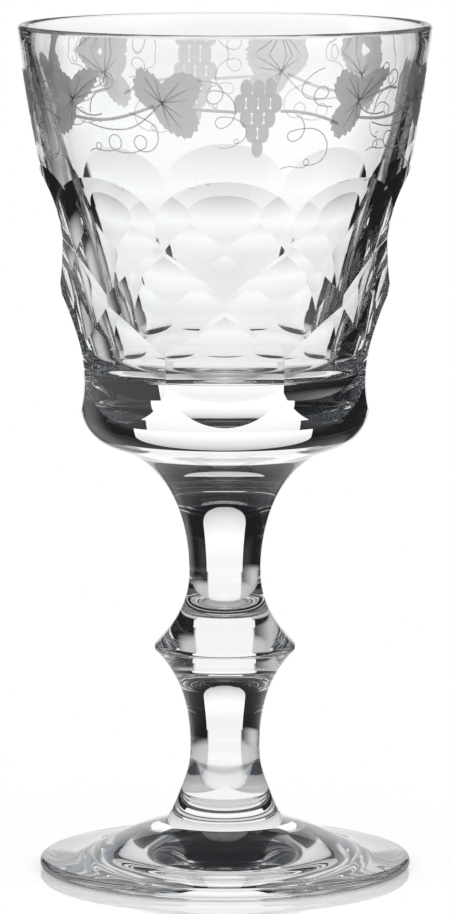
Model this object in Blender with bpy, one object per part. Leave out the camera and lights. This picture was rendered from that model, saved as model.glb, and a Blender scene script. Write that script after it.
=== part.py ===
"""Cut crystal water goblet, made of five gathers of glass that are joined hot.

The bowl, two lengths of stem, the knop between them and the foot are turned on one outline, and a flat face
closes each gather where it meets the next. The bowl is then cut with staggered rows of round hollows: every
hollow is the track of one grinding wheel, so neighbouring hollows meet in sharp ridges.
"""

import math

import bmesh
import bpy
from mathutils import Matrix

# Foot, from the table up to the seam at its neck
FOOT_RADIUS = 0.0384
FOOT_EDGE = 0.0015
FOOT_HEIGHT = 0.0196
FOOT_CONE_ANGLE = math.radians(16.0)
FOOT_FILLET = 0.0115
FOOT_NECK_RADIUS = 0.0080
FOOT_NECK_ANGLE = math.radians(19.5)
FOOT_REST_WIDTH = 0.0060
FOOT_HOLLOW = 0.0010

# Stem, each height measured up from the one before it
LOWER_WAIST_RISE = 0.0058
LOWER_WAIST_RADIUS = 0.0072
KNOP_RISE = 0.0208
KNOP_RADIUS = 0.0146
KNOP_EDGE_RADIUS = 0.0011
KNOP_FACE_ANGLE = math.radians(44.0)
UPPER_WAIST_RISE = 0.0156
UPPER_WAIST_RADIUS = 0.0074
TRUMPET_RISE = 0.0263
TRUMPET_RADIUS = 0.0220

# Seams between the gathers, measured from the knop's edge and from the trumpet's end
KNOP_BELOW = 0.0058
KNOP_ABOVE = 0.0074
BOWL_COLLAR = 0.0100

# Bowl, with its outer wall drawn from the heel corner up to the rim
UNDERSIDE_ANGLE = math.radians(18.0)
HEEL_RADIUS = 0.0287
HEEL_FILLET = 0.0075
WALL_RISE = 0.0847
WALL_BELLY = 0.0004
RIM_RADIUS = 0.0426
RIM_THICKNESS = 0.0017
BASE_THICKNESS = 0.0250
FLOOR_RADIUS = 0.0235
FLOOR_FILLET = 0.0070

# Hollows, cut by a wheel whose rim is ground slightly hollow from side to side
CUT_COLUMNS = 8
CUT_ROWS = 3
CUT_DEPTH = 0.0022
CUT_HEEL_MARGIN = 0.0005
WHEEL_RADIUS = 0.0385
WHEEL_RIM_HOLLOW = 0.1170
WHEEL_SHOE = 0.0080
WHEEL_OVERRUN = math.radians(3.0)

# Fineness of the turned and cut surfaces
BOWL_SEGMENTS = 64
STEM_SEGMENTS = 48
COVE_STEPS = 10
FILLET_STEPS = 6
EDGE_STEPS = 4
WALL_STEPS = 8
WHEEL_STEPS = 13
RIM_STEPS = 8
MERGE_DISTANCE = 0.00001
SEAM_CLEARANCE = 0.0004

# Shape of the coves: how far each end of the curve holds its own direction, as a share of the cove's height
KNOP_COVE_HOLD = (0.44, 0.25)
TRUMPET_HOLD = (0.76, 0.08)
NECK_HOLD = (0.40, 0.30)

# Heights that follow from the sizes above
LOWER_WAIST_Z = FOOT_HEIGHT + LOWER_WAIST_RISE
KNOP_Z = LOWER_WAIST_Z + KNOP_RISE
UPPER_WAIST_Z = KNOP_Z + UPPER_WAIST_RISE
TRUMPET_Z = UPPER_WAIST_Z + TRUMPET_RISE
HEEL_Z = TRUMPET_Z + (HEEL_RADIUS - TRUMPET_RADIUS) * math.tan(UNDERSIDE_ANGLE)
RIM_Z = HEEL_Z + WALL_RISE
LOWER_KNOP_SEAM = KNOP_Z - KNOP_BELOW
UPPER_KNOP_SEAM = KNOP_Z + KNOP_ABOVE
BOWL_SEAM = TRUMPET_Z - BOWL_COLLAR
FLOOR_Z = BOWL_SEAM + BASE_THICKNESS


def arc(centre, radius, start, end, steps):
    """Points on a circle about centre, from one angle to another."""
    angles = [start + (end - start) * step / steps for step in range(steps + 1)]
    return [(centre[0] + radius * math.cos(a), centre[1] + radius * math.sin(a)) for a in angles]


def fillet(before, corner, after, radius, steps):
    """Points of the arc that rounds a corner between two straight lines."""
    to_before = math.atan2(before[1] - corner[1], before[0] - corner[0])
    to_after = math.atan2(after[1] - corner[1], after[0] - corner[0])
    opening = math.remainder(to_after - to_before, 2 * math.pi)
    middle = to_before + opening / 2
    reach = radius / math.sin(abs(opening) / 2)
    centre = (corner[0] + reach * math.cos(middle), corner[1] + reach * math.sin(middle))
    turn = math.copysign(math.pi - abs(opening), opening)
    start = middle + math.pi + turn / 2
    return arc(centre, radius, start, start - turn, steps)


def cove(waist, end, slope, hold):
    """Points of a hollow curve that leaves the waist upright and reaches the end at a given slope.

    It is a cubic curve whose handles are shares of its height.
    """
    rise = end[1] - waist[1]
    leave = (waist[0], waist[1] + hold[0] * rise)
    arrive = (end[0] - hold[1] * abs(rise) * slope, end[1] - hold[1] * rise)
    points = []
    for step in range(COVE_STEPS + 1):
        t = step / COVE_STEPS
        weights = ((1 - t) ** 3, 3 * t * (1 - t) ** 2, 3 * t * t * (1 - t), t ** 3)
        corners = (waist, leave, arrive, end)
        points.append(tuple(sum(w * c[axis] for w, c in zip(weights, corners)) for axis in (0, 1)))
    return points


def wall_radius(height):
    """Outer radius of the uncut bowl: a straight taper with a slight belly."""
    share = (height - HEEL_Z) / WALL_RISE
    return HEEL_RADIUS + share * (RIM_RADIUS - HEEL_RADIUS) + 4 * WALL_BELLY * share * (1 - share)


def wall_lean(height):
    """Angle by which the outer wall leans out from upright at a height."""
    share = (height - HEEL_Z) / WALL_RISE
    return math.atan((RIM_RADIUS - HEEL_RADIUS + 4 * WALL_BELLY * (1 - 2 * share)) / WALL_RISE)


def foot_outline():
    """Top of the foot from its rounded edge up the cone and the neck to the seam."""
    edge_radius = FOOT_EDGE / 2
    edge = arc((FOOT_RADIUS - edge_radius, edge_radius), edge_radius,
               -math.pi / 2, math.pi / 2 - FOOT_CONE_ANGLE, EDGE_STEPS)
    neck = (FOOT_NECK_RADIUS, FOOT_HEIGHT)
    cone, flare = math.tan(FOOT_CONE_ANGLE), math.tan(FOOT_NECK_ANGLE)
    drop = FOOT_HEIGHT - edge[-1][1] - (edge[-1][0] - FOOT_NECK_RADIUS) * cone
    drop /= 1 - flare * cone
    corner = (FOOT_NECK_RADIUS + drop * flare, FOOT_HEIGHT - drop)
    return edge + fillet(edge[-1], corner, neck, FOOT_FILLET, FILLET_STEPS) + [neck]


def stem_outline():
    """Outer side of the stem from the foot's neck up past the knop to the bowl's underside."""
    lower_waist = (LOWER_WAIST_RADIUS, LOWER_WAIST_Z)
    upper_waist = (UPPER_WAIST_RADIUS, UPPER_WAIST_Z)
    edge_centre = (KNOP_RADIUS - KNOP_EDGE_RADIUS, KNOP_Z)
    edge = arc(edge_centre, KNOP_EDGE_RADIUS, -KNOP_FACE_ANGLE, KNOP_FACE_ANGLE, EDGE_STEPS)
    face_slope = math.tan(KNOP_FACE_ANGLE)
    neck = cove(lower_waist, (FOOT_NECK_RADIUS, FOOT_HEIGHT), math.tan(FOOT_NECK_ANGLE), NECK_HOLD)
    below = cove(lower_waist, edge[0], face_slope, KNOP_COVE_HOLD)
    above = cove(upper_waist, edge[-1], face_slope, KNOP_COVE_HOLD)
    trumpet = cove(upper_waist, (TRUMPET_RADIUS, TRUMPET_Z), 1 / math.tan(UNDERSIDE_ANGLE), TRUMPET_HOLD)
    return neck[::-1] + below[1:] + edge[1:] + above[-2::-1] + trumpet[1:]


def between(outline, low, high):
    """The stretch of a rising outline between two heights, with a point exactly on each."""
    def radius_at(height):
        for (r0, z0), (r1, z1) in zip(outline, outline[1:]):
            if z0 <= height <= z1 and z1 > z0:
                return r0 + (r1 - r0) * (height - z0) / (z1 - z0)
        raise ValueError("the seam lies outside the outline")

    inner = [p for p in outline if low + SEAM_CLEARANCE < p[1] < high - SEAM_CLEARANCE]
    return [(radius_at(low), low)] + inner + [(radius_at(high), high)]


def closed(outline):
    """Outline of a solid gather: in from the axis at the top, down the outer side and back to the axis."""
    downward = outline[::-1]
    return [(0.0, downward[0][1])] + downward + [(0.0, downward[-1][1])]


def foot_underside():
    """Underside of the foot from the edge in: the flat ring it stands on and the shallow dish inside it."""
    ring_radius = FOOT_RADIUS - FOOT_EDGE / 2 - FOOT_REST_WIDTH
    dish_radius = (ring_radius ** 2 + FOOT_HOLLOW ** 2) / (2 * FOOT_HOLLOW)
    centre = (0.0, FOOT_HOLLOW - dish_radius)
    start = math.asin(ring_radius / dish_radius)
    return arc(centre, dish_radius, math.pi / 2 - start, math.pi / 2, FILLET_STEPS)


def heel_arc():
    """Rounded heel of the bowl, from its sloping underside to the foot of its wall."""
    up_the_wall = HEEL_Z + HEEL_FILLET
    return fillet((TRUMPET_RADIUS, TRUMPET_Z), (HEEL_RADIUS, HEEL_Z),
                  (wall_radius(up_the_wall), up_the_wall), HEEL_FILLET, FILLET_STEPS)


def bowl_outside():
    """Outer side of the uncut bowl from its seam up the trumpet, round the heel and up to the rim."""
    collar = between(stem_outline(), BOWL_SEAM, TRUMPET_Z)
    heel = heel_arc()
    low, high = heel[-1][1], RIM_Z - RIM_THICKNESS / 2
    heights = [low + (high - low) * step / WALL_STEPS for step in range(1, WALL_STEPS + 1)]
    return collar + heel + [(wall_radius(height), height) for height in heights]


def bowl_inside():
    """Inner side of the bowl from the middle of its floor, round the corner and up to the rim."""
    top = (wall_radius(RIM_Z - RIM_THICKNESS / 2) - RIM_THICKNESS, RIM_Z - RIM_THICKNESS / 2)
    corner = (FLOOR_RADIUS, FLOOR_Z)
    return [(0.0, FLOOR_Z)] + fillet((0.0, FLOOR_Z), corner, top, FLOOR_FILLET, FILLET_STEPS) + [top]


def bowl_outline():
    """Inside, rim and outside of the bowl as one line from axis to axis."""
    inside, outside = bowl_inside(), bowl_outside()
    lip_radius = RIM_THICKNESS / 2
    lip_centre = ((inside[-1][0] + outside[-1][0]) / 2, inside[-1][1])
    lip = arc(lip_centre, lip_radius, math.pi, 0.0, EDGE_STEPS)[1:-1]
    return inside + lip + outside[::-1] + [(0.0, BOWL_SEAM)]


def crystal(name):
    """Clear lead crystal with a polished surface."""
    material = bpy.data.materials.new(name)
    material.use_nodes = True
    shader = material.node_tree.nodes["Principled BSDF"]
    shader.inputs["Base Color"].default_value = (0.93, 0.95, 0.96, 1.0)
    shader.inputs["Metallic"].default_value = 0.0
    shader.inputs["Roughness"].default_value = 0.02
    shader.inputs["IOR"].default_value = 1.55
    shader.inputs["Transmission Weight"].default_value = 1.0
    return material


def turned(name, outline, segments, goblet):
    """A gather of glass turned about the upright axis from its outline."""
    mesh = bpy.data.meshes.new(name)
    points = [(radius, 0.0, height) for radius, height in outline]
    mesh.from_pydata(points, [(i, i + 1) for i in range(len(points) - 1)], [])
    mesh.materials.append(crystal(name + " crystal"))
    piece = bpy.data.objects.new(name, mesh)
    bpy.context.scene.collection.objects.link(piece)
    piece.parent = goblet
    screw = piece.modifiers.new("Turn", "SCREW")
    screw.axis = "Z"
    screw.steps = segments
    screw.render_steps = segments
    screw.use_merge_vertices = True
    screw.merge_threshold = MERGE_DISTANCE
    screw.use_smooth_shade = True
    return piece


def half_chord():
    """Half the length of a hollow up the wall, where the wheel's circle leaves the glass."""
    return math.sqrt(2 * WHEEL_RADIUS * CUT_DEPTH - CUT_DEPTH ** 2)


def row_heights():
    """Heights of the rows' middles, top row first.

    The bottom row ends just above the heel, and rows two apart just touch each other.
    """
    heel_end = heel_arc()[-1][1]
    pitch = half_chord() * math.cos(wall_lean(heel_end))
    lowest = heel_end + CUT_HEEL_MARGIN + pitch
    return [lowest + pitch * row for row in reversed(range(CUT_ROWS))]


def wheel_shoe():
    """The working part of the wheel: its rim's cross-section spun about the wheel's own axis, along Y."""
    widest = wall_radius(row_heights()[0] + half_chord())
    half_width = widest * math.tan(math.pi / CUT_COLUMNS)
    across = [half_width * (2 * step / RIM_STEPS - 1) for step in range(RIM_STEPS + 1)]
    rim = [(-WHEEL_RADIUS - y * y / (2 * WHEEL_RIM_HOLLOW), y, 0.0) for y in across]
    back = [(WHEEL_SHOE - WHEEL_RADIUS, half_width, 0.0), (WHEEL_SHOE - WHEEL_RADIUS, -half_width, 0.0)]
    sweep = 2 * (math.asin(half_chord() / WHEEL_RADIUS) + WHEEL_OVERRUN)

    shoe = bmesh.new()
    section = shoe.faces.new([shoe.verts.new(point) for point in rim + back])
    bmesh.ops.spin(shoe, geom=[section] + list(section.edges) + list(section.verts), cent=(0, 0, 0),
                   axis=(0, 1, 0), angle=sweep, steps=WHEEL_STEPS)
    bmesh.ops.rotate(shoe, verts=shoe.verts, cent=(0, 0, 0), matrix=Matrix.Rotation(-sweep / 2, 3, "Y"))
    bmesh.ops.recalc_face_normals(shoe, faces=shoe.faces)
    mesh = bpy.data.meshes.new("wheel_shoe")
    shoe.to_mesh(mesh)
    shoe.free()
    return mesh


def cut_hollows(bowl):
    """Set the wheel to the bowl at every hollow of every row and cut its track away."""
    wheels = bpy.data.collections.new("wheels")
    bpy.context.scene.collection.children.link(wheels)
    mesh = wheel_shoe()
    for row, height in enumerate(row_heights()):
        lean = wall_lean(height)
        stand_off = WHEEL_RADIUS - CUT_DEPTH
        axle_radius = wall_radius(height) + stand_off * math.cos(lean)
        axle_height = height - stand_off * math.sin(lean)
        for column in range(CUT_COLUMNS):
            angle = (column + row % 2 / 2) * 2 * math.pi / CUT_COLUMNS
            wheel = bpy.data.objects.new(f"wheel_{row + 1}_{column + 1}", mesh)
            wheel.location = (axle_radius * math.cos(angle), axle_radius * math.sin(angle), axle_height)
            wheel.rotation_euler = (0.0, lean, angle)
            wheel.hide_render = True
            wheel.display_type = "WIRE"
            wheels.objects.link(wheel)
    cut = bowl.modifiers.new("Hollows", "BOOLEAN")
    cut.operation = "DIFFERENCE"
    cut.operand_type = "COLLECTION"
    cut.collection = wheels
    cut.solver = "EXACT"


def main():
    for old in list(bpy.data.objects):
        bpy.data.objects.remove(old, do_unlink=True)
    goblet = bpy.data.objects.new("goblet", None)
    bpy.context.scene.collection.objects.link(goblet)

    stem = stem_outline()
    foot_line = foot_underside()[::-1] + foot_outline()
    turned("foot", [(0.0, FOOT_HEIGHT)] + foot_line[::-1], STEM_SEGMENTS, goblet)
    turned("lower_stem", closed(between(stem, FOOT_HEIGHT, LOWER_KNOP_SEAM)), STEM_SEGMENTS, goblet)
    turned("knop", closed(between(stem, LOWER_KNOP_SEAM, UPPER_KNOP_SEAM)), STEM_SEGMENTS, goblet)
    turned("upper_stem", closed(between(stem, UPPER_KNOP_SEAM, BOWL_SEAM)), STEM_SEGMENTS, goblet)
    cut_hollows(turned("bowl", bowl_outline(), BOWL_SEGMENTS, goblet))


main()
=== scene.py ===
"""Cut crystal water goblet with an etched grapevine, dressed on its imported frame.

Every piece is a closed surface of rings: a grid of points that runs round a line and along it, closed by a point
at each end. The glass turns about the upright axis, and the etching lies on the bowl's outer wall.
"""

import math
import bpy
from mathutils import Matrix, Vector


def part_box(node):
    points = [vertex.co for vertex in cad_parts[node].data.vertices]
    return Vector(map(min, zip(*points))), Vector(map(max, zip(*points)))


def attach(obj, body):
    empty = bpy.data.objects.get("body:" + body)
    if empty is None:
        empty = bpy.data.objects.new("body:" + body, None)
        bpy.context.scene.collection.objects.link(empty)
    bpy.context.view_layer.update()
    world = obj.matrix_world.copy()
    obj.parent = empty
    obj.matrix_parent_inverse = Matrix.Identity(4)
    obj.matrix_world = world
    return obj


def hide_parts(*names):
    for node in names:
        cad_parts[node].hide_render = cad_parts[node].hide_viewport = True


bl_info = {
    "name": "Cut crystal water goblet",
    "version": (1, 0, 0),
    "blender": (4, 5, 0),
    "location": "3D View > Sidebar > Goblet",
    "description": "Builds the glass, the etched vine and the studio of a cut crystal water goblet",
    "category": "Add Mesh",
}

from collections import namedtuple
from functools import partial

import bpy
import numpy as np
from bpy.props import FloatProperty, IntProperty, PointerProperty, StringProperty

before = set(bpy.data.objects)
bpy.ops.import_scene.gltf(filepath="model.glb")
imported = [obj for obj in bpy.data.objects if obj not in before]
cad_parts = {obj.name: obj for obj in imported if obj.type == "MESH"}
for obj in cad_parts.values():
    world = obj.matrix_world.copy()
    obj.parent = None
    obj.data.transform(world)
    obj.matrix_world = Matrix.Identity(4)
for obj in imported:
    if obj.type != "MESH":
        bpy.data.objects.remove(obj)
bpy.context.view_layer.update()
FOOT_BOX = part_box("foot")
KNOP_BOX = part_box("knop")
BOWL_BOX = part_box("bowl")

MM = 0.001
WHITE = (1, 1, 1, 1)
SMOOTH = {"interpolation_type": "SMOOTHSTEP"}

# How finely the surfaces are drawn and solved.
CORNER_STEPS = 16
COVE_STEPS = 36
STEM_COLUMNS = 192
FOOT_COLUMNS = 288
HALF_COLUMNS = 20
HOLLOW_COLUMNS = 2 * HALF_COLUMNS
HEEL_STEPS = 2
HOLLOW_STEPS = 20
WALL_STEPS = 10
HALVINGS = 40
SUBSTITUTIONS = 12
EDGE_STEPS = 36
PATCH_STEPS = 6
GRAPE_COLUMNS = 24
STROKE_STEP = 0.25 * MM
SEAM_SPACING = 0.1 * MM
RIDGE_SEARCH = 1.2

# Handles of the outline's curves at their start and end, as shares of what each curve spans.
SWEEP_HANDLES = (0.35, 0.45)
RISE_HANDLES = (0.35, 0.85)
NECK_HANDLES = (0.40, 0.30)
KNOP_HANDLES = (0.44, 0.25)
TRUMPET_HANDLES = (0.48, 0.12)

# How far light is followed through the glass, and how far the camera sees in metres.
BOUNCES = 32
CLEAR_BOUNCES = 64
VIEW_END = 50.0


def length(name, description, metres):
    """A size that is given in metres."""
    return FloatProperty(name=name, description=description, default=metres, unit="LENGTH", precision=5)


def mm(name, description, size):
    """A size that is given in millimetres."""
    return length(name, description, size * MM)


def angle(name, description, degrees):
    """An angle that is given in degrees."""
    return FloatProperty(name=name, description=description, default=math.radians(degrees), subtype="ANGLE")


def share(name, description, default):
    """A plain ratio."""
    return FloatProperty(name=name, description=description, default=default)


def colour(name, description, default):
    """A colour as an sRGB hex value."""
    return StringProperty(name=name, description=description, default=default)


class GobletStem(bpy.types.PropertyGroup):
    """Outline of the foot and of the stem."""

    foot_radius: length("Foot radius", "Radius of the foot", FOOT_BOX[1].x)
    foot_height: length("Foot height", "Height of the seam at the foot's neck", FOOT_BOX[1].z)
    foot_edge: mm("Foot edge", "Thickness of its rounded edge", 2.5)
    disc_radius: mm("Disc radius", "Radius where the disc starts to sweep up", 31.0)
    disc_slope: angle("Disc slope", "Slope of the disc's upper side", 7.0)
    dome_radius: mm("Dome radius", "Radius of the dome under the neck", 14.0)
    dome_height: mm("Dome height", "Height of the dome there", 9.4)
    dome_slope: angle("Dome slope", "Slope of the dome there", 14.0)
    neck_radius: mm("Neck radius", "Radius of the stem at the foot's seam", 8.0)
    neck_flare: angle("Neck flare", "Angle by which the neck opens downwards", 19.5)
    rest_width: mm("Rest width", "Width of the flat ring under the foot", 6.0)
    foot_hollow: mm("Foot hollow", "Depth of the dish under the foot", 1.0)
    lower_waist_radius: mm("Lower waist radius", "Radius of the waist below the knop", 7.2)
    lower_waist_rise: mm("Lower waist rise", "Its height above the foot's seam", 5.8)
    knop_radius: length("Knop radius", "Radius at the knop's edge", KNOP_BOX[1].x)
    knop_rise: mm("Knop rise", "Height of its edge above the lower waist", 20.8)
    knop_edge: mm("Knop edge", "Radius that rounds its edge", 1.1)
    knop_face: angle("Knop face", "Angle of its faces from upright at the edge", 44.0)
    lower_seam: length("Lower knop seam", "Height of the seam under the knop", KNOP_BOX[0].z)
    upper_seam: length("Upper knop seam", "Height of the seam above the knop", KNOP_BOX[1].z)
    upper_waist_radius: mm("Upper waist radius", "Radius of the waist above the knop", 7.4)
    upper_waist_rise: mm("Upper waist rise", "Its height above the knop's edge", 15.6)
    trumpet_radius: mm("Trumpet radius", "Radius where the stem becomes the bowl's underside", 22.0)
    trumpet_rise: mm("Trumpet rise", "Its height above the upper waist", 25.9)
    underside: angle("Underside slope", "Slope of the bowl's underside", 18.0)
    bowl_seam: length("Bowl seam", "Height of the seam under the bowl", BOWL_BOX[0].z)


class GobletBowl(bpy.types.PropertyGroup):
    """Outline of the bowl and the wheel that cuts its hollows."""

    heel_radius: mm("Heel radius", "Radius of the wall's foot", 28.7)
    heel_fillet: mm("Heel fillet", "Radius that rounds the heel", 8.8)
    rim_radius: mm("Rim radius", "Radius of the wall carried up to the rim", 42.598)
    rim_height: length("Rim height", "Height of the rim", BOWL_BOX[1].z)
    rim_thickness: mm("Rim thickness", "Thickness of the rounded rim", 1.7)
    belly: mm("Belly", "How far the wall swells beyond a straight taper", 0.4)
    base_thickness: mm("Base thickness", "Glass between the bowl's seam and its floor", 25.0)
    floor_radius: mm("Floor radius", "Radius of the floor inside", 23.5)
    floor_fillet: mm("Floor fillet", "Radius that rounds the floor's corner", 7.0)
    columns: IntProperty(name="Hollows in a row", description="Hollows round the bowl in each row", default=8)
    cut_depth: mm("Cut depth", "Depth of a hollow at its middle", 2.2)
    heel_margin: mm("Heel margin", "Wall left under the lowest hollows", 0.1)
    wheel_radius: mm("Wheel radius", "Radius of the grinding wheel", 38.5)
    wheel_rim: mm("Wheel rim", "Radius of the hollow across the wheel's rim", 117.0)


class GobletVine(bpy.types.PropertyGroup):
    """Sizes of the etched grapevine."""

    height: mm("Vine height", "Height of the leaves' hearts", 161.4)
    repeats: IntProperty(name="Repeats", description="How often the pattern goes round the bowl", default=4)
    gap: mm("Gap", "Gap under the lowest frosted layer", 0.012)
    layer: mm("Layer", "Thickness of one frosted layer", 0.02)
    vine_width: mm("Vine width", "Width of the vine", 0.62)
    stalk_width: mm("Stalk width", "Width of a leaf's stalk", 0.38)
    tendril_width: mm("Tendril width", "Width of a tendril", 0.29)
    vein_width: mm("Vein width", "Width of a leaf's vein at the heart", 0.24)
    tooth_pitch: mm("Tooth pitch", "Distance between two teeth of a leaf", 1.5)
    tooth_depth: mm("Tooth depth", "Depth of the teeth near a leaf's tips", 1.05)
    grape_width: mm("Grape width", "Width of a grape", 2.35)
    grape_height: mm("Grape height", "Height of a grape", 3.8)
    grape_pitch: mm("Grape pitch", "Distance between neighbours in a row", 2.45)
    row_pitch: mm("Row pitch", "Distance between rows of grapes", 3.0)
    bunch_turn: angle("Bunch turn", "Turn of the bunch from the front", 9.3)
    bunch_rise: mm("Bunch rise", "Height of the first row above the leaves' hearts", 3.0)


class GobletFinish(bpy.types.PropertyGroup):
    """What the glass and its etching are made of."""

    crystal_index: share("Crystal index", "Refractive index of lead crystal", 1.55)
    crystal: colour("Crystal", "Tint of the clear crystal", "FCFDFD")
    wave_size: mm("Wave size", "Width of the waves left by polishing", 9.0)
    wave_height: mm("Wave height", "Height of those waves", 0.004)
    frost: colour("Frost", "Darker tone of the etched crystal", "F0EEEC")
    frost_light: colour("Light frost", "Lighter tone of the etched crystal", "FFFFFE")
    # The veins are frosted in a darker grey than the leaves.
    vein_frost: colour("Vein frost", "Grey tone drawn on the veins", "A8A6A4")
    frost_roughness: share("Frost roughness", "Roughness of the etched crystal", 0.48)
    grain_size: mm("Grain size", "Size of the etched grain", 0.35)
    grain_height: mm("Grain height", "Height of the etched grain", 0.004)


class GobletStage(bpy.types.PropertyGroup):
    """Floor, light and camera."""

    floor: colour("Floor", "Colour of the pale floor", "FCFCFC")
    floor_gloss: share("Floor gloss", "Share of light mirrored near the foot", 0.5)
    floor_roughness: share("Floor roughness", "Roughness of the lacquer", 0.05)
    skirt_gloss: share("Skirt gloss", "Share of light mirrored round the foot's rim", 0.4)
    skirt_near: length("Skirt start", "Distance at which it starts to fade", 0.05)
    skirt_far: length("Skirt end", "Distance at which it has faded", 0.07)
    flag: colour("Flags", "Colour of the dark flags beside the card", "1E1E21")
    room: colour("Room", "Colour of the dim room before the goblet", "3F4248")
    ceiling: colour("Ceiling", "Colour of the dark overhead", "2A2A2D")
    floor_drop: mm("Floor drop", "Gap left under the foot's flat ring", 0.1)
    floor_size: length("Floor size", "Half the width of the floor", 12.0)
    near_floor: length("Lit floor", "Radius of the floor that shows bright in the glass", 0.11)
    near_shift: length("Lit floor shift", "How far its middle lies behind the goblet's axis", 0.09)
    near_light: share("Lit floor light", "How bright it shows in the glass", 0.62)
    under_rim: share("Light under the rim", "Share of light left on the floor there", 0.6)
    rim_shade: length("Rim shade", "Radius of the ring of floor that the rim shades", 0.034)
    rim_shade_width: length("Rim shade width", "How far it reaches to either side", 0.016)
    card_distance: length("Card distance", "How far the card stands behind the axis", 0.40)
    card_shift: length("Card shift", "How far its middle stands right of the axis", 0.005)
    card_half: length("Card half width", "Half the width of the card", 0.16)
    card_shoulder: length("Card shoulder", "Height at which its sides start to round over", 0.17)
    card_top: length("Card top", "Height of the card", 0.285)
    card_low: length("Card low light", "Height up to which it is as bright as the floor", 0.03)
    card_bright: length("Card bright light", "Height at which it is brightest", 0.10)
    card_light: share("Card light", "How bright it is there", 1.16)
    card_dim: share("Card dim light", "Share of that light left at its top", 0.47)
    lift: share("Floor lift", "Light added so that the camera sees it white", 0.1)
    shade_near: length("Shade", "Distance to which the foot's shadow stays whole", 0.042)
    shade_far: length("End of shade", "Distance at which that shadow has gone", 0.11)
    distance: length("Camera distance", "How far the camera stands from the axis", 1.267)
    height: length("Camera height", "Height of the camera above the floor", 0.2474)
    pitch: angle("Camera pitch", "How far the camera looks down", 7.277)
    lens: FloatProperty(name="Lens", description="Focal length on a 36 mm frame", default=243.84,
                        subtype="DISTANCE_CAMERA")


def linear(hex_value):
    """Linear colour of an sRGB hex value: the standard curve with its straight toe."""
    channels = np.array([int(hex_value[i:i + 2], 16) for i in (0, 2, 4)]) / 255
    toe, curve = channels / 12.92, ((channels + 0.055) / 1.055) ** 2.4
    return (*np.where(channels <= 0.04045, toe, curve).tolist(), 1.0)


def add(tree, kind, inputs=(), **settings):
    """Add a node with its settings and return its outputs: inputs gives a socket a value or another node's output."""
    node = tree.nodes.new("ShaderNode" + kind)
    for name, value in settings.items():
        setattr(node, name, value)
    for key, value in dict(inputs).items():
        if isinstance(value, bpy.types.NodeSocket):
            tree.links.new(value, node.inputs[key])
        else:
            node.inputs[key].default_value = value
    return node.outputs


def arc(centre, radius, start, end):
    """Points on a circle: the centre plus the radius times the cosine and sine of evenly spaced angles."""
    turn = np.linspace(start, end, CORNER_STEPS + 1)
    return np.column_stack((centre[0] + radius * np.cos(turn), centre[1] + radius * np.sin(turn)))


def fillet(before, corner, after, radius):
    """Arc that rounds a corner of two straight lines: its centre lies on the bisector of the corner."""
    to_before, to_after = (math.atan2(end[1] - corner[1], end[0] - corner[0]) for end in (before, after))
    opening = math.remainder(to_after - to_before, 2 * math.pi)
    middle = to_before + opening / 2
    reach = radius / math.sin(abs(opening) / 2)
    centre = (corner[0] + reach * math.cos(middle), corner[1] + reach * math.sin(middle))
    turn = math.copysign(math.pi - abs(opening), opening)
    start = middle + math.pi + turn / 2
    return arc(centre, radius, start, start - turn)


def bezier(start, leave, arrive, end):
    """Points on a cubic Bezier curve from its two ends and the handles between them."""
    t = np.linspace(0, 1, COVE_STEPS + 1)[:, None]
    weights = ((1 - t) ** 3, 3 * t * (1 - t) ** 2, 3 * t * t * (1 - t), t ** 3)
    return sum(weight * np.array(handle) for weight, handle in zip(weights, (start, leave, arrive, end)))


def cove(waist, end, slope, leave, arrive):
    """Bezier curve that leaves a waist upright and reaches its end at a slope: its handles are shares of its height."""
    rise = end[1] - waist[1]
    return bezier(waist, (waist[0], waist[1] + leave * rise),
                  (end[0] - arrive * abs(rise) * slope, end[1] - arrive * rise), end)


def foot_profile(stem):
    """Outer side of the foot as radius and height, from the middle of its dish out, up and in to the neck.

    The dish is an arc, the rest a flat ring, the edge a half round and the disc a shallow cone. Two Bezier curves
    carry it up: one turns from hollow to round on its way to the dome, and one turns up into the neck.
    """
    edge_radius = stem.foot_edge / 2
    ring = stem.foot_radius - edge_radius - stem.rest_width
    dish_radius = (ring ** 2 + stem.foot_hollow ** 2) / (2 * stem.foot_hollow)
    up = math.pi / 2
    dish = arc((0, stem.foot_hollow - dish_radius), dish_radius, up, up - math.asin(ring / dish_radius))
    edge = arc((stem.foot_radius - edge_radius, edge_radius), edge_radius, -up, up - stem.disc_slope)
    along_disc, along_dome = (np.array((-1, math.tan(slope))) for slope in (stem.disc_slope, stem.dome_slope))
    along_neck = np.array((-math.tan(stem.neck_flare), 1))
    disc = edge[-1] + (edge[-1][0] - stem.disc_radius) * along_disc
    dome, neck = np.array(((stem.dome_radius, stem.dome_height), (stem.neck_radius, stem.foot_height)))
    leave, arrive = np.multiply(SWEEP_HANDLES, disc[0] - dome[0])
    sweep = bezier(disc, disc + leave * along_disc, dome - arrive * along_dome, dome)
    leave, arrive = np.multiply(RISE_HANDLES, (dome[0] - neck[0], neck[1] - dome[1]))
    rise = bezier(dome, dome + leave * along_dome, neck - arrive * along_neck, neck)
    return np.vstack((dish[1:], edge, sweep, rise[1:]))


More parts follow.
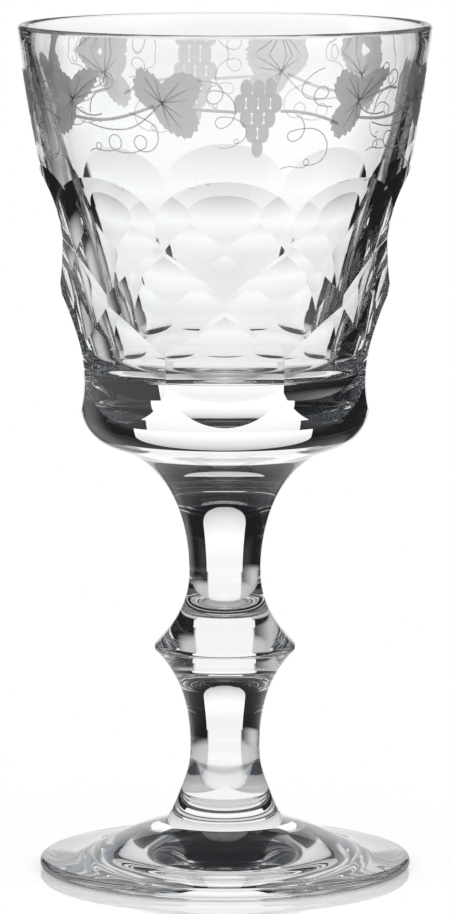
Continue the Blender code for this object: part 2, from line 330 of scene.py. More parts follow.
def stem_profile(stem):
    """Outer side of the stem from the foot's neck to the bowl's underside: four coves and the knop's round edge."""
    lower = (stem.lower_waist_radius, stem.foot_height + stem.lower_waist_rise)
    knop_height = lower[1] + stem.knop_rise
    upper = (stem.upper_waist_radius, knop_height + stem.upper_waist_rise)
    edge = arc((stem.knop_radius - stem.knop_edge, knop_height), stem.knop_edge, -stem.knop_face, stem.knop_face)
    face = math.tan(stem.knop_face)
    neck = cove(lower, (stem.neck_radius, stem.foot_height), math.tan(stem.neck_flare), *NECK_HANDLES)
    below = cove(lower, edge[0], face, *KNOP_HANDLES)
    above = cove(upper, edge[-1], face, *KNOP_HANDLES)
    top = (stem.trumpet_radius, upper[1] + stem.trumpet_rise)
    trumpet = cove(upper, top, 1 / math.tan(stem.underside), *TRUMPET_HANDLES)
    return np.vstack((neck[::-1], below[1:], edge[1:], above[-2::-1], trumpet[1:]))


def stretch(profile, low, high):
    """The part of a rising profile between two heights, with a point exactly on each."""
    inner = profile[(profile[:, 1] > low + SEAM_SPACING) & (profile[:, 1] < high - SEAM_SPACING)]
    ends = [(np.interp(height, profile[:, 1], profile[:, 0]), height) for height in (low, high)]
    return np.vstack((ends[:1], inner, ends[1:]))


def heel_height(bowl):
    """Height of the heel's corner, where the underside's slope meets the foot of the wall."""
    stem = bowl.id_data.goblet_stem
    top = stem_profile(stem)[-1]
    return top[1] + (bowl.heel_radius - top[0]) * math.tan(stem.underside)


def wall_radius(bowl, height):
    """Outer radius of the uncut bowl: a straight taper plus a slight belly, a parabola over the wall's height."""
    heel = heel_height(bowl)
    up = (height - heel) / (bowl.rim_height - heel)
    return bowl.heel_radius + up * (bowl.rim_radius - bowl.heel_radius) + 4 * bowl.belly * up * (1 - up)


def wall_lean(bowl, height):
    """Angle by which the outer wall leans out at a height: the slope of the taper and the belly."""
    rise = bowl.rim_height - heel_height(bowl)
    up = (height - heel_height(bowl)) / rise
    return math.atan((bowl.rim_radius - bowl.heel_radius + 4 * bowl.belly * (1 - 2 * up)) / rise)


def heel_profile(bowl):
    """Round heel of the bowl between its sloping underside and its wall."""
    corner = (bowl.heel_radius, heel_height(bowl))
    up_wall = corner[1] + bowl.heel_fillet
    below = stem_profile(bowl.id_data.goblet_stem)[-1]
    return fillet(below, corner, (wall_radius(bowl, up_wall), up_wall), bowl.heel_fillet)


def hollow_rows(bowl):
    """Heights of the three rows of hollows, lowest first, and half the length of one hollow.

    A hollow is as long as the wheel's chord at the cut's depth, and each row starts half a hollow above the last.
    """
    half = math.sqrt(2 * bowl.wheel_radius * bowl.cut_depth - bowl.cut_depth ** 2)
    heel_end = heel_profile(bowl)[-1][1]
    pitch = half * math.cos(wall_lean(bowl, heel_end))
    return [heel_end + bowl.heel_margin + pitch * (row + 1) for row in range(3)], half


def hollow_radius(bowl, row_height, off_centre, height):
    """Radius of the glass where the wheel of one hollow has cut it, at an angle off the hollow's middle.

    The wheel's axle lies level across the hollow. The glass ends where the distance to that axle is the wheel's
    radius, which grows with the square of the offset along the axle. It is solved by repeated substitution.
    """
    lean = wall_lean(bowl, row_height)
    stand_off = bowl.wheel_radius - bowl.cut_depth
    axle_radius = wall_radius(bowl, row_height) + stand_off * math.cos(lean)
    axle_height = row_height - stand_off * math.sin(lean)
    radius = wall_radius(bowl, height)
    for _ in range(SUBSTITUTIONS):
        reach = bowl.wheel_radius + (radius * np.sin(off_centre)) ** 2 / (2 * bowl.wheel_rim)
        inside = np.maximum(reach ** 2 - (height - axle_height) ** 2, 0)
        radius = (axle_radius - np.sqrt(inside)) / np.cos(off_centre)
    return radius


def crossing(above, low, high):
    """Heights at which a function stops being positive between two heights, by halving the interval."""
    for _ in range(HALVINGS):
        middle = (low + high) / 2
        positive = above(middle) > 0
        low, high = np.where(positive, middle, low), np.where(positive, high, middle)
    return (low + high) / 2


def cut_wall(bowl):
    """Outer wall with its hollows, over half the width of one hollow, as bands of radius and height.

    At each angle the glass ends at the nearest of the uncut wall and the three rows' wheels. The heights at which
    two of them meet are the ridges, and each band runs evenly from one ridge to the next.
    """
    half_width = math.pi / bowl.columns
    off = np.linspace(0, half_width, HALF_COLUMNS + 1)
    (low, middle, high), half = hollow_rows(bowl)
    wall = partial(wall_radius, bowl)
    bottom_row = partial(hollow_radius, bowl, low, off)
    middle_row = partial(hollow_radius, bowl, middle, half_width - off)
    top_row = partial(hollow_radius, bowl, high, off)
    reach = RIDGE_SEARCH * half
    ridges = (
        heel_profile(bowl)[-1][1],
        crossing(lambda z: bottom_row(z) - wall(z), low - reach, low),
        crossing(lambda z: np.minimum(middle_row(z), top_row(z)) - bottom_row(z), low, middle),
        crossing(lambda z: top_row(z) - np.minimum(middle_row(z), bottom_row(z)), middle, high),
        crossing(lambda z: wall(z) - top_row(z), high, high + reach),
        bowl.rim_height - bowl.rim_thickness / 2,
    )
    surfaces = (wall, bottom_row, middle_row, top_row, wall)
    steps = (HEEL_STEPS, HOLLOW_STEPS, HOLLOW_STEPS, HOLLOW_STEPS, WALL_STEPS)
    bands = []
    for surface, count, start, end in zip(surfaces, steps, ridges, ridges[1:]):
        heights = start + (end - start) * np.linspace(0, 1, count + 1)[1:, None]
        bands.append(np.stack((surface(heights), heights), axis=-1))
    return bands


def bowl_inside(bowl):
    """Rim and inner side of the bowl: a half round, a straight taper, a round corner and the flat floor."""
    lip_height = bowl.rim_height - bowl.rim_thickness / 2
    outer = wall_radius(bowl, lip_height)
    lip = arc((outer - bowl.rim_thickness / 2, lip_height), bowl.rim_thickness / 2, 0, math.pi)
    floor = bowl.id_data.goblet_stem.bowl_seam + bowl.base_thickness
    corner = fillet(lip[-1], (bowl.floor_radius, floor), (0, floor), bowl.floor_fillet)
    return np.vstack((lip[1:], corner)), floor


def turned(profile, columns):
    """Rings about the upright axis: points of radius and height, shared by all columns or one for each."""
    turn = np.arange(columns) * 2 * math.pi / columns
    radius, height = np.moveaxis(profile, -1, 0)
    return np.stack((radius * np.cos(turn), radius * np.sin(turn), height + 0 * turn), axis=-1)


def cut_rings(bands, columns):
    """Rings of the cut wall: the half hollow mirrored and repeated round the upright axis."""
    place = (np.arange(columns) + HALF_COLUMNS) % HOLLOW_COLUMNS
    return turned(np.concatenate(bands)[:, np.abs(place - HALF_COLUMNS)], columns)


def ring_faces(rings, columns):
    """Faces that join rings of points: four-sided between rings, and three-sided to the point at each end."""
    place = np.arange(rings * columns).reshape(rings, columns)
    after = np.roll(place, -1, axis=1)
    sides = np.stack((place[:-1], after[:-1], after[1:], place[1:]), axis=-1).reshape(-1, 4)
    first = np.column_stack((after[0], place[0], np.full(columns, place.size)))
    last = np.column_stack((place[-1], after[-1], np.full(columns, place.size + 1)))
    return sides, first, last


def new_piece(name, points, faces, materials):
    """Mesh object from its points and faces, put in the scene."""
    mesh = bpy.data.meshes.new(name)
    mesh.from_pydata(points, [], faces)
    for material in materials:
        mesh.materials.append(material)
    piece = bpy.data.objects.new(name, mesh)
    bpy.context.scene.collection.objects.link(piece)
    return piece


def closed_surface(name, shells, materials, smooth=True):
    """Mesh object of closed surfaces, each given as its rings and the point that closes each end."""
    points, faces, count = [], [], 0
    for rings, start, end in shells:
        for part in ring_faces(*rings.shape[:2]):
            faces += (part + count).tolist()
        points += [rings.reshape(-1, 3), np.array([start, end])]
        count += rings.shape[0] * rings.shape[1] + 2
    piece = new_piece(name, np.vstack(points).tolist(), faces, materials)
    piece.data.polygons.foreach_set("use_smooth", np.full(len(faces), smooth))
    return piece


def dress(piece, slot, *nodes):
    """Let a piece ride on the goblet and stand for its nodes; the slot is not used."""
    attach(piece, "root")
    if nodes:
        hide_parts(*nodes)


def new_material(name):
    """An empty node material, and the function that adds a node to it."""
    material = bpy.data.materials.new(name)
    material.use_nodes = True
    material.node_tree.nodes.clear()
    return material, partial(add, material.node_tree)


def crystal(finish, name, size, height, detail, roughness, tones):
    """Lead crystal whose surface swells with a noise of a size and height, which also blends one tone into the next."""
    material, node = new_material(name)
    place = node("TexCoord")["Object"]
    swell = node("TexNoise", {"Vector": place, "Scale": 1 / size, "Detail": detail})["Fac"]
    bump = node("Bump", {"Height": swell, "Distance": height})["Normal"]
    tint = linear(tones[0])
    for tone in tones[1:]:
        tint = node("Mix", {"Factor": swell, "A": tint, "B": linear(tone)}, data_type="RGBA")["Result"]
    shader = node("BsdfPrincipled", {
        "Base Color": tint, "Roughness": roughness, "IOR": finish.crystal_index,
        "Transmission Weight": 1.0, "Normal": bump})["BSDF"]
    node("OutputMaterial", {"Surface": shader})
    return material


def polished_crystal(finish):
    """Lead crystal, blown, cut and polished by hand.

    It is clear and nearly colourless. Polishing leaves soft waves that make straight reflections swim.
    """
    name = "Polished lead crystal"
    return bpy.data.materials.get(name) or crystal(
        finish, name, finish.wave_size, finish.wave_height, detail=0.0, roughness=0.0, tones=[finish.crystal])


def fused_seam():
    """Hot-joined seam between two gathers: the glass is one there, so nothing shows."""
    existing = bpy.data.materials.get("Fused crystal seam")
    if existing:
        return existing
    material, node = new_material("Fused crystal seam")
    node("OutputMaterial", {"Surface": node("BsdfTransparent")["BSDF"]})
    return material


def crystal_gather(finish, name, rings, heights, seams, level=(), upright=None):
    """A gather of crystal from its rings and the heights at which its two ends close.

    An end with a seam is flat and fused, because the glass runs on through it. The seams' edges and the rings in level
    stay crisp, and so do the edges that rise from a ring where upright says so, by ring and column.
    """
    count, columns = rings.shape[:2]
    ends = [(0, 0, height) for height in heights]
    piece = closed_surface(name, [(rings, *ends)], [polished_crystal(finish), fused_seam()])
    mesh = piece.data
    slots = np.zeros(len(mesh.polygons), np.int32)
    slots[-2 * columns:] = np.repeat(seams, columns)
    mesh.polygons.foreach_set("material_index", slots)
    crisp = np.zeros(count, bool)
    crisp[[0, -1]] = seams
    crisp[list(level)] = True
    pairs = np.zeros(2 * len(mesh.edges), np.int32)
    mesh.edges.foreach_get("vertices", pairs)
    pairs = np.sort(pairs.reshape(-1, 2), axis=1)
    on_rings = pairs[:, 1] < count * columns
    (ring, other), (column, _) = np.transpose(np.divmod(np.where(on_rings[:, None], pairs, 0), columns), (0, 2, 1))
    rising = False if upright is None else upright[ring, column]
    sharp = on_rings & np.where(ring == other, crisp[ring], rising)
    mesh.attributes.new("sharp_edge", "BOOLEAN", "EDGE").data.foreach_set("value", sharp)
    return piece


class GOBLET_OT_foot(bpy.types.Operator):
    """Turn the disc foot with its dished underside and its neck"""

    bl_idname = "goblet.foot"
    bl_label = "Foot"

    def execute(self, context):
        stem, finish = context.scene.goblet_stem, context.scene.goblet_finish
        rings = turned(foot_profile(stem)[:, None], FOOT_COLUMNS)
        piece = crystal_gather(finish, "crystal_foot", rings, (stem.foot_hollow, stem.foot_height), (False, True))
        dress(piece, "crystal", "foot")
        return {"FINISHED"}


class GOBLET_OT_stem(bpy.types.Operator):
    """Turn the two lengths of stem and the knop between them"""

    bl_idname = "goblet.stem"
    bl_label = "Stem and knop"

    def execute(self, context):
        stem, finish = context.scene.goblet_stem, context.scene.goblet_finish
        profile = stem_profile(stem)
        seams = (stem.foot_height, stem.lower_seam, stem.upper_seam, stem.bowl_seam)
        for node, low, high in zip(("lower_stem", "knop", "upper_stem"), seams, seams[1:]):
            rings = turned(stretch(profile, low, high)[:, None], STEM_COLUMNS)
            piece = crystal_gather(finish, "crystal_" + node, rings, (low, high), (True, True))
            dress(piece, "crystal", node)
        return {"FINISHED"}


class GOBLET_OT_bowl(bpy.types.Operator):
    """Turn the bowl and cut its three staggered rows of hollows"""

    bl_idname = "goblet.bowl"
    bl_label = "Cut bowl"

    def execute(self, context):
        stem, bowl, finish = context.scene.goblet_stem, context.scene.goblet_bowl, context.scene.goblet_finish
        collar = stretch(stem_profile(stem), stem.bowl_seam, stem_profile(stem)[-1][1])
        below = np.vstack((collar, heel_profile(bowl)))[:, None]
        bands = cut_wall(bowl)
        inside, floor = bowl_inside(bowl)
        columns = bowl.columns * HOLLOW_COLUMNS
        rings = np.concatenate((turned(below, columns), cut_rings(bands, columns), turned(inside[:, None], columns)))
        ends = len(below) - 1 + np.cumsum([len(band) for band in bands])
        upright = np.zeros(rings.shape[:2], bool)
        for row, ridge in enumerate((HALF_COLUMNS, 0, HALF_COLUMNS)):
            upright[ends[row]:ends[row + 1], ridge::HOLLOW_COLUMNS] = True
        piece = crystal_gather(finish, "crystal_bowl", rings, (stem.bowl_seam, floor), (True, False),
                               ends[:-1], upright)
        dress(piece, "crystal", "bowl")
        return {"FINISHED"}


# A leaf: the turn of its heart from the front in degrees, and its outline as (across, up, bulge) in mm from the heart,
# a notch and a tip by turns. The bulge is that of the edge to the next point, as a share of the edge's length.
Leaf = namedtuple("Leaf", "turn edges")
LEAVES = (
    Leaf(-18.1, ((0.2, 3.8, 0.11), (-4.4, 6.9, 0.30), (-1.8, -1.5, 0.15),
                 (5.2, -7.0, 0.28), (6.3, -0.8, 0.05), (8.4, 4.3, 0.25))),
    Leaf(41.3, ((0.5, 3.9, 0.03), (-4.4, 6.4, 0.28), (-4.6, -0.6, 0.28),
                (-4.9, -7.4, 0.18), (0.9, -1.3, 0.09), (8.0, 5.7, 0.18))),
)

# Veins towards a tip, as (turn off it in degrees, share of the way), the share of a tooth's depth that is cut into the
# leaf, and the grapes in each row of a bunch.
VEIN_FAN = ((-20.0, 0.58), (0.0, 0.74), (20.0, 0.58))
TOOTH_ROOT = 0.35
BUNCH_ROWS = (3, 4, 3, 2, 1)

# Levels at which the parts of the etching lie over each other, and how much narrower their lines end than they start.
VINE_LEVEL, LEAF_LEVEL, VEIN_LEVEL = 0, 1, 2
VINE_TAPER, STALK_TAPER, TENDRIL_TAPER, VEIN_TAPER = 0.0, 0.2, 0.25, 0.6

# A drawn line: the turn from the front in degrees and the rise in mm from the leaves' hearts at which it starts, its
# heading there, and its stretches, each as a length in mm and how far the line turns over it, anticlockwise.
Stroke = namedtuple("Stroke", "turn rise heading stretches")
VINES = (
    Stroke(-49.5, -3.3, -8, ((5, 5), (4, 8), (4, 8), (4, 6), (4, 0))),
    Stroke(-9.0, -1.2, -4, ((8.5, 1),)),
    Stroke(15.5, -1.6, -2, ((2.5, -2), (5, -10), (6, -10))),
)
STALKS = (
    Stroke(-18.1, 0.0, -135, ((5, -6), (6, -35), (8, -22))),
    Stroke(41.3, -0.3, -66, ((2.6, 42), (6, 40))),
)
TENDRILS = (
    Stroke(-28.6, -2.1, -16, ((4.7, -10), (4.8, -82), (6, -115), (7.2, -290), (7.5, -50), (8.5, -320), (5, -30),
                              (4.3, -360), (2.5, 50))),
    Stroke(-8.0, 4.6, -2, ((3.4, -10), (5.5, -143), (4.7, -200), (4.7, -65), (6.6, -100), (3.8, -192), (4.5, -43),
                           (5.6, -135), (2.7, -330), (4.1, -54))),
    Stroke(20.5, -2.4, -20, ((3.1, -60), (4.5, -100), (3, -165), (4.2, -17), (5, -63), (5.3, -93), (2.8, -27),
                             (3.4, -320), (2.8, -50), (3.5, 40))),
    Stroke(32.2, -1.0, 180, ((3, -15), (5.5, -165), (3.5, -165), (3.8, -35), (3.5, -105), (5.4, -40))),
    Stroke(48.1, -2.7, 95, ((4, -50), (4, -45), (6, 215), (2.2, 75), (2.6, 180))),
)


def vine_radius(vine):
    """Radius of the wall at the leaves' hearts, which turns a distance round the wall into an angle."""
    return wall_radius(vine.id_data.goblet_bowl, vine.height)


def on_wall(vine, place, lift):
    """Points of the unrolled wall laid round the bowl: place is the distance round from the front and the height."""
    turn = place[..., 0] / vine_radius(vine)
    radius = wall_radius(vine.id_data.goblet_bowl, place[..., 1]) + lift
    return np.stack((radius * np.sin(turn), -radius * np.cos(turn), place[..., 1]), axis=-1)


def band_place(vine, turn, rise=0.0):
    """Place on the unrolled wall of a turn from the front in degrees and a rise above the leaves' hearts in mm."""
    return np.array((math.radians(turn) * vine_radius(vine), vine.height + rise * MM))


def repeated(vine, place):
    """A drawn shape shifted round the wall, once for each repeat of the pattern."""
    period = 2 * math.pi / vine.repeats * vine_radius(vine)
    return [place + (period * repeat, 0) for repeat in range(vine.repeats)]


def patch_shells(vine, outline, heart, level):
    """Thin closed patches of an outline: rings shrink evenly from the outline to its heart on both sides."""
    shrink = np.linspace(0, 1, PATCH_STEPS + 1)[1:, None, None]
    low = vine.gap + 2 * level * vine.layer
    shells = []
    for edge, middle in zip(repeated(vine, outline), repeated(vine, heart)):
        place = middle + shrink * (edge - middle)
        inner = on_wall(vine, place, low)
        outer = on_wall(vine, place[::-1], low + vine.layer)
        start, end = on_wall(vine, middle, low), on_wall(vine, middle, low + vine.layer)
        shells.append((np.concatenate((inner, outer)), start, end))
    return shells


def ribbon_shells(vine, path, width, taper, level):
    """Thin closed ribbons: four corners carried along a path, narrower and narrower, and rising so that curls cross."""
    along = np.linspace(0, 1, len(path))[:, None]
    heading = np.gradient(path, axis=0)
    heading /= np.linalg.norm(heading, axis=1)[:, None]
    aside = np.column_stack((-heading[:, 1], heading[:, 0])) * width / 2 * (1 - taper * along)
    low = vine.gap + (2 * level + along) * vine.layer
    lift = np.hstack((low + vine.layer, low + vine.layer, low, low))
    left, right = path + aside, path - aside
    shells = []
    for place in repeated(vine, np.stack((left, right, right, left), axis=1)):
        rings = on_wall(vine, place, lift)
        shells.append((rings, rings[0].mean(axis=0), rings[-1].mean(axis=0)))
    return shells


def stroke_path(vine, stroke):
    """Path of a drawn line: the heading turns evenly over each stretch, and the steps along it add up."""
    lengths, turns = np.array(stroke.stretches, float).T
    ends = np.append(0, np.cumsum(lengths)) * MM
    headings = stroke.heading + np.append(0, np.cumsum(turns))
    along = np.linspace(0, ends[-1], round(ends[-1] / STROKE_STEP))
    heading = np.radians(np.interp(along, ends, headings))
    steps = along[1] * np.column_stack((np.cos(heading), np.sin(heading)))
    return band_place(vine, stroke.turn, stroke.rise) + np.cumsum(steps, axis=0)


def leaf_outline(vine, leaf):
    """Outline of a leaf: edges that bulge as parabolas, with saw teeth that grow towards the tips."""
    points = np.array(leaf.edges)
    t = np.arange(EDGE_STEPS) / EDGE_STEPS
    outline = []
    for number, (start, end) in enumerate(zip(points, np.roll(points, -1, axis=0))):
        chord = (end - start)[:2] * MM
        reach = np.linalg.norm(chord)
        outward = np.array((chord[1], -chord[0])) / reach
        to_tip = t if number % 2 == 0 else 1 - t
        teeth = (to_tip * round(reach / vine.tooth_pitch)) % 1
        out = 4 * t * (1 - t) * start[2] * reach + vine.tooth_depth * to_tip * (teeth - TOOTH_ROOT)
        outline.append(start[:2] * MM + t[:, None] * chord + out[:, None] * outward)
    return band_place(vine, leaf.turn) + np.vstack(outline)


def leaf_veins(vine, leaf):
    """Straight veins that fan out from a leaf's heart, three towards each tip."""
    heart = band_place(vine, leaf.turn)
    paths = []
    for across, up, _ in leaf.edges[1::2]:
        for fan, share_of_tip in VEIN_FAN:
            heading = math.atan2(up, across) + math.radians(fan)
            reach = share_of_tip * math.hypot(across, up) * MM
            steps = np.linspace(0, reach, round(reach / STROKE_STEP))[:, None]
            paths.append(heart + steps * (math.cos(heading), math.sin(heading)))
    return paths


def grape_outlines(vine):
    """Ellipses of a bunch of grapes, row by row from the top, with each row's level above the glass."""
    turn = np.arange(GRAPE_COLUMNS) * 2 * math.pi / GRAPE_COLUMNS
    oval = np.column_stack((vine.grape_width / 2 * np.cos(turn), vine.grape_height / 2 * np.sin(turn)))
    around = vine.bunch_turn * vine_radius(vine)
    for row, count in enumerate(BUNCH_ROWS):
        for place in range(count):
            across = around + (place - (count - 1) / 2) * vine.grape_pitch
            middle = np.array((across, vine.height + vine.bunch_rise - row * vine.row_pitch))
            yield middle + oval, middle, LEAF_LEVEL + len(BUNCH_ROWS) - row


def etched_crystal(finish, name, tone):
    """Crystal frosted with acid: a silky grey that scatters the light from behind it.

    The bite of the acid leaves a fine grain, drawn coarser than the real one so that it shows.
    """
    return crystal(finish, name, finish.grain_size, finish.grain_height, detail=2.0,
                   roughness=finish.frost_roughness, tones=[finish.frost, tone])


def etch(name, shells, material):
    """Add a piece of the etching from its thin shells."""
    dress(closed_surface(name, shells, [material], smooth=False), "etched_crystal")


class GOBLET_OT_leaves(bpy.types.Operator):
    """Etch the vine leaves and their veins"""

    bl_idname = "goblet.leaves"
    bl_label = "Etched leaves"

    def execute(self, context):
        vine, finish = context.scene.goblet_vine, context.scene.goblet_finish
        leaves, veins = [], []
        for leaf in LEAVES:
            leaves += patch_shells(vine, leaf_outline(vine, leaf), band_place(vine, leaf.turn), LEAF_LEVEL)
            for path in leaf_veins(vine, leaf):
                veins += ribbon_shells(vine, path, vine.vein_width, VEIN_TAPER, VEIN_LEVEL)
        etch("etched_leaves", leaves, etched_crystal(finish, "Acid-etched crystal leaf", finish.frost_light))
        # The veins take a darker grey frost than the leaves.
        etch("etched_veins", veins, etched_crystal(finish, "Grey-toned etched crystal vein", finish.vein_frost))
        return {"FINISHED"}


class GOBLET_OT_grapes(bpy.types.Operator):
    """Etch the bunches of grapes"""

    bl_idname = "goblet.grapes"
    bl_label = "Etched grapes"

    def execute(self, context):
        vine, finish = context.scene.goblet_vine, context.scene.goblet_finish
        grapes = []
        for outline, middle, level in grape_outlines(vine):
            grapes += patch_shells(vine, outline, middle, level)
        etch("etched_grapes", grapes, etched_crystal(finish, "Acid-etched crystal grape", finish.frost_light))
        return {"FINISHED"}


class GOBLET_OT_vine(bpy.types.Operator):
    """Etch the vine, the leaves' stalks and the curling tendrils"""

    bl_idname = "goblet.vine"
    bl_label = "Etched vine"

    def execute(self, context):
        vine, finish = context.scene.goblet_vine, context.scene.goblet_finish
        kinds = ((VINES, vine.vine_width, VINE_TAPER), (STALKS, vine.stalk_width, STALK_TAPER),
                 (TENDRILS, vine.tendril_width, TENDRIL_TAPER))
        lines = []
        for strokes, width, taper in kinds:
            for stroke in strokes:
                lines += ribbon_shells(vine, stroke_path(vine, stroke), width, taper, VINE_LEVEL)
        etch("etched_vine", lines, etched_crystal(finish, "Acid-etched crystal vine", finish.frost_light))
        return {"FINISHED"}


# Lit panels of the studio for the views from other sides: the heading from +X, the half width, the height at which the
# sides start to round over and the top, in degrees, how softly it ends as a share of the half width, and its colour.
Panel = namedtuple("Panel", "heading half shoulder top soft light")
PANELS = (
    Panel(180.0, 13.0, 6.0, 16.0, 0.3, "CECECE"),
    Panel(0.0, 22.0, 4.0, 20.0, 0.3, "42546C"),
)

# Lit sectors of the floor: the heading from +X and the half width in degrees, how softly it ends, its light, and the
# distances in metres between which it is lit. The first lies before the card and the last in front of the goblet.
Sector = namedtuple("Sector", "heading half soft light near far")
SECTORS = (
    Sector(89.5, 20.3, 0.08, 1.02, 0.0, 20.0),
    Sector(180.0, 13.0, 0.3, 0.9, 0.5, 20.0),
    Sector(135.0, 17.0, 0.8, 0.6, 0.0, 0.55),
    Sector(45.0, 22.0, 0.3, 0.6, 0.0, 0.12),
    Sector(-45.0, 22.0, 0.3, 0.9, 0.25, 20.0),
    Sector(-90.0, 85.0, 0.2, 0.6, 0.17, 0.6),
)

# Where the light changes: as shares of a sector's start and end and of the lit floor's radius, and as sines of the
# directions between which the flags give way to the room, and the room to the dark overhead.
SECTOR_START = (0.8, 1.2)
SECTOR_END = (1.4, 0.6)
NEAR_EDGE = (1.43, 0.57)
ROOM_EDGE = (0.55, 0.30)
CEILING_EDGE = (0.50, 0.68)


def strip_mask(node, strip, place, rise):
    """Share of an upright strip that a ray meets: one inside, zero outside and a soft step between.

    The angle off its heading over its half width, and the rise into its rounded top, are the sides of a right
    triangle whose long side is one on the strip's edge.
    """
    heading = math.radians(strip.heading)
    towards = (math.cos(heading), math.sin(heading), 0)
    flat = node("VectorMath", {0: place, 1: (1, 1, 0)}, operation="MULTIPLY")[0]
    level = node("VectorMath", {0: flat}, operation="NORMALIZE")[0]
    facing = node("VectorMath", {0: level, 1: towards}, operation="DOT_PRODUCT")["Value"]
    across = node("Math", {0: facing}, operation="ARCCOSINE")[0]
    across = node("Math", {0: across, 1: math.radians(strip.half)}, operation="DIVIDE")[0]
    off = node("CombineXYZ", {0: across, 1: rise})[0]
    off = node("VectorMath", {0: off}, operation="LENGTH")["Value"]
    return node("MapRange", {"Value": off, 1: 1 + strip.soft, 2: 1 - strip.soft}, **SMOOTH)[0]


def seen_in_glass(node):
    """One for rays that come through or off the polished glass straight from the camera, otherwise zero."""
    path = node("LightPath")
    bent = node("Math", {0: path["Is Glossy Ray"], 1: path["Is Transmission Ray"]}, operation="MAXIMUM")[0]
    clear = node("Math", {0: path["Diffuse Depth"], 1: 1.0}, operation="LESS_THAN")[0]
    return node("Math", {0: bent, 1: clear}, operation="MULTIPLY")[0]


def studio_world(stage):
    """White for the camera, even light on matt surfaces, and dark flags with a few lit panels in the glass."""
    world = bpy.data.worlds.new("Bright-field studio")
    world.use_nodes = True
    world.node_tree.nodes.clear()
    node = partial(add, world.node_tree)
    direction = node("TexCoord")["Generated"]
    split = node("SeparateXYZ", {0: direction})
    above = node("Math", {0: split["Z"]}, operation="ARCSINE")[0]
    parts = []
    for axis, (start, end), tone in (("Y", ROOM_EDGE, stage.room), ("Z", CEILING_EDGE, stage.ceiling)):
        parts.append((node("MapRange", {"Value": split[axis], 1: start, 2: end}, **SMOOTH)[0], tone))
    for panel in PANELS:
        rise = node("MapRange", {
            "Value": above, 1: math.radians(panel.shoulder), 2: math.radians(panel.top), 4: 1.0}, clamp=False)[0]
        rise = node("Math", {0: rise, 1: 0.0}, operation="MAXIMUM")[0]
        parts.append((strip_mask(node, panel, direction, rise), panel.light))
    glow = linear(stage.flag)
    for mask, tone in parts:
        glow = node("Mix", {"Factor": mask, "A": glow, "B": linear(tone)}, data_type="RGBA")["Result"]
    light = node("Mix", {"Factor": seen_in_glass(node), "A": WHITE, "B": glow}, data_type="RGBA")["Result"]
    node("OutputWorld", {"Surface": node("Background", {"Color": light})[0]})
    return world


def lit_backdrop(stage):
    """White card lit from below: white for the camera, and in the glass brightest low down and dimmer to its top."""
    material, node = new_material("Lit white card")
    height = node("SeparateXYZ", {0: node("TexCoord")["Object"]})["Z"]
    low = node("MapRange", {"Value": height, 1: stage.card_low, 2: stage.card_bright, 3: 1.0, 4: stage.card_light})[0]
    high = node("MapRange", {"Value": height, 1: stage.card_bright, 2: stage.card_top, 3: 1.0, 4: stage.card_dim})[0]
    light = node("Math", {0: low, 1: high}, operation="MULTIPLY")[0]
    light = node("MapRange", {"Value": seen_in_glass(node), 3: 1.0, 4: light})[0]
    node("OutputMaterial", {"Surface": node("Emission", {"Color": WHITE, "Strength": light})[0]})
    return material


def floor_in_glass(node, stage, place, reach, near):
    """Light of the floor as the glass shows it: bright near the foot and in each lit sector, otherwise dark."""
    lit = node("Math", {0: near, 1: stage.near_light}, operation="MULTIPLY")[0]
    for sector in SECTORS:
        seen = strip_mask(node, sector, place, 0.0)
        first, whole = np.multiply(SECTOR_START, sector.near)
        start = node("MapRange", {"Value": reach, 1: first, 2: whole + MM, 4: sector.light}, **SMOOTH)[0]
        last, whole = np.multiply(SECTOR_END, sector.far)
        end = node("MapRange", {"Value": reach, 1: last, 2: whole}, **SMOOTH)[0]
        for limit in (start, end):
            seen = node("Math", {0: seen, 1: limit}, operation="MULTIPLY")[0]
        lit = node("Math", {0: lit, 1: seen}, operation="MAXIMUM")[0]
    lit = node("Math", {0: lit, 1: linear(stage.flag)[0]}, operation="MAXIMUM")[0]
    off_rim = node("Math", {0: reach, 1: stage.rim_shade}, operation="SUBTRACT")[0]
    off_rim = node("Math", {0: off_rim}, operation="ABSOLUTE")[0]
    shade = node("MapRange", {"Value": off_rim, 2: stage.rim_shade_width, 3: stage.under_rim, 4: 1.0})[0]
    return node("Math", {0: lit, 1: shade}, operation="MULTIPLY")[0]


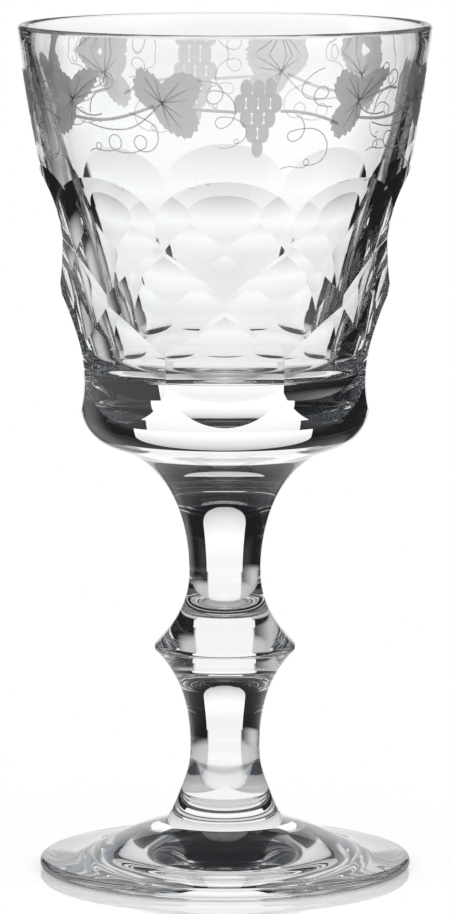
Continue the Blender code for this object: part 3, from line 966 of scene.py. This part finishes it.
def studio_floor(stage):
    """Pale lacquered floor: matt white, glossy near the foot, and in the glass as bright as the studio lights it.

    The camera sees it fade to pure white a little way from the foot, so that only the foot's own shadow is left.
    """
    material, node = new_material("Pale lacquered floor")
    place = node("TexCoord")["Object"]
    reach = node("VectorMath", {0: place}, operation="LENGTH")["Value"]
    behind = node("VectorMath", {0: place, 1: (0, stage.near_shift, 0)}, operation="DISTANCE")["Value"]
    first, whole = np.multiply(NEAR_EDGE, stage.near_floor)
    near = node("MapRange", {"Value": behind, 1: first, 2: whole}, **SMOOTH)[0]
    matt = node("BsdfDiffuse", {"Color": linear(stage.floor)})[0]
    gloss = node("BsdfGlossy", {"Roughness": stage.floor_roughness})[0]
    polish = node("Math", {0: near, 1: stage.floor_gloss}, operation="MULTIPLY")[0]
    skirt = node("MapRange", {
        "Value": reach, 1: stage.skirt_near, 2: stage.skirt_far, 3: stage.skirt_gloss, 4: 0.0})[0]
    polish = node("Math", {0: polish, 1: skirt}, operation="MAXIMUM")[0]
    lacquer = node("MixShader", {0: polish, 1: matt, 2: gloss})[0]
    white = node("Emission", {"Color": WHITE})[0]
    camera = node("LightPath")["Is Camera Ray"]
    far = node("MapRange", {"Value": reach, 1: stage.shade_near, 2: stage.shade_far}, **SMOOTH)[0]
    haze = node("Math", {0: far, 1: camera}, operation="MULTIPLY")[0]
    lift = node("Math", {0: camera, 1: stage.lift}, operation="MULTIPLY")[0]
    lift = node("Emission", {"Color": WHITE, "Strength": lift})[0]
    lacquer = node("AddShader", {0: lacquer, 1: lift})[0]
    seen = node("MixShader", {0: haze, 1: lacquer, 2: white})[0]
    light = floor_in_glass(node, stage, place, reach, near)
    shown = node("Emission", {"Color": WHITE, "Strength": light})[0]
    surface = node("MixShader", {0: seen_in_glass(node), 1: seen, 2: shown})[0]
    node("OutputMaterial", {"Surface": surface})
    return material


class GOBLET_OT_stage(bpy.types.Operator):
    """Lay the floor, light the studio and set the camera"""

    bl_idname = "goblet.stage"
    bl_label = "Stage"

    def execute(self, context):
        scene, stage = context.scene, context.scene.goblet_stage
        half, drop = stage.floor_size, -stage.floor_drop
        corners = [(-half, -half, drop), (half, -half, drop), (half, half, drop), (-half, half, drop)]
        new_piece("floor", corners, [range(len(corners))], [studio_floor(stage)])
        turn = np.linspace(0, math.pi, 2 * CORNER_STEPS + 1)
        across = stage.card_shift + stage.card_half * np.pad(np.cos(turn), 1, mode="edge")
        height = stage.card_shoulder + (stage.card_top - stage.card_shoulder) * np.sin(turn)
        height = np.pad(height, 1, constant_values=drop)
        outline = np.column_stack((across, np.full_like(across, stage.card_distance), height))
        new_piece("card", outline.tolist(), [range(len(outline))], [lit_backdrop(stage)])
        scene.world = studio_world(stage)
        data = bpy.data.cameras.new("camera")
        data.lens = stage.lens
        data.clip_end = VIEW_END
        camera = bpy.data.objects.new("camera", data)
        camera.location = (0, -stage.distance, stage.height)
        camera.rotation_euler = (math.pi / 2 - stage.pitch, 0, 0)
        scene.collection.objects.link(camera)
        scene.camera = camera
        scene.view_settings.view_transform = "Standard"
        for kind in ("max", "transmission", "glossy"):
            setattr(scene.cycles, kind + "_bounces", BOUNCES)
        scene.cycles.transparent_max_bounces = CLEAR_BOUNCES
        return {"FINISHED"}


class GOBLET_PT_panel(bpy.types.Panel):
    """The goblet's pieces and its stage"""

    bl_label = "Cut crystal goblet"
    bl_idname = "GOBLET_PT_panel"
    bl_space_type = "VIEW_3D"
    bl_region_type = "UI"
    bl_category = "Goblet"

    def draw(self, context):
        for operator in OPERATORS:
            self.layout.operator(operator.bl_idname)
        for name in GROUPS:
            group = getattr(context.scene, name)
            box = self.layout.box()
            for item in group.bl_rna.properties:
                if not item.is_readonly and item.identifier != "name":
                    box.prop(group, item.identifier)


OPERATORS = (GOBLET_OT_foot, GOBLET_OT_stem, GOBLET_OT_bowl, GOBLET_OT_leaves, GOBLET_OT_grapes, GOBLET_OT_vine,
             GOBLET_OT_stage)
GROUPS = {"goblet_stem": GobletStem, "goblet_bowl": GobletBowl, "goblet_vine": GobletVine,
          "goblet_finish": GobletFinish, "goblet_stage": GobletStage}


def register():
    for name, group in GROUPS.items():
        bpy.utils.register_class(group)
        setattr(bpy.types.Scene, name, PointerProperty(type=group))
    for item in (*OPERATORS, GOBLET_PT_panel):
        bpy.utils.register_class(item)


def unregister():
    for item in (GOBLET_PT_panel, *OPERATORS[::-1]):
        bpy.utils.unregister_class(item)
    for name, group in GROUPS.items():
        delattr(bpy.types.Scene, name)
        bpy.utils.unregister_class(group)


def main():
    """Build every piece."""
    register()
    bpy.ops.goblet.foot()
    bpy.ops.goblet.stem()
    bpy.ops.goblet.bowl()
    bpy.ops.goblet.leaves()
    bpy.ops.goblet.grapes()
    bpy.ops.goblet.vine()
    bpy.ops.goblet.stage()


if __name__ == "__main__":
    main()
